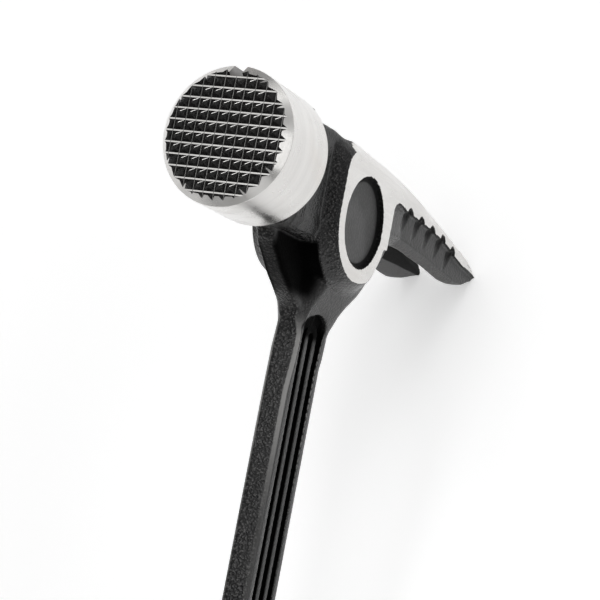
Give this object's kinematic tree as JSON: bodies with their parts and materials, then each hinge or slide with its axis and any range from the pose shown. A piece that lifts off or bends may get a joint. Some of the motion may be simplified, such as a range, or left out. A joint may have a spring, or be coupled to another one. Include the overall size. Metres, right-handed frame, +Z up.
{
  "type": "framing hammer",
  "caption": "One-piece steel framing hammer: milled face, nail starter with magnet, rip claw with fluted sides, grooved shank and moulded grip.",
  "frame": {"origin": "centre of the bounding box's bottom face: on the bench that the claw tips and the butt rest on, below the hammer's middle", "axes": "+X from the butt to the head, +Z up and, ten degrees off it, the way the striking face looks, +Y across, away from the cheek seen in the picture"},
  "size_m": [0.4056, 0.036, 0.1552],
  "materials": {
    "coated_steel": "semi-gloss black coating over forged steel, finely pebbled",
    "ground_steel": "bright ground steel on the poll, the bevel, the cheeks and the claw's top strip",
    "magnet": "plated magnet",
    "grip_core": "hard black moulded plastic",
    "grip_soft": "soft matt black moulded rubber",
    "grip_inlay": "dark grey moulded plastic"
  },
  "bodies": {
    "root": {"forged_body": "coated_steel", "starter_magnet": "magnet", "grip_core": "grip_core", "grip_sleeve": "grip_soft", "side_inlays": "grip_inlay", "butt_cap": "grip_core"}
  },
  "joints": []
}
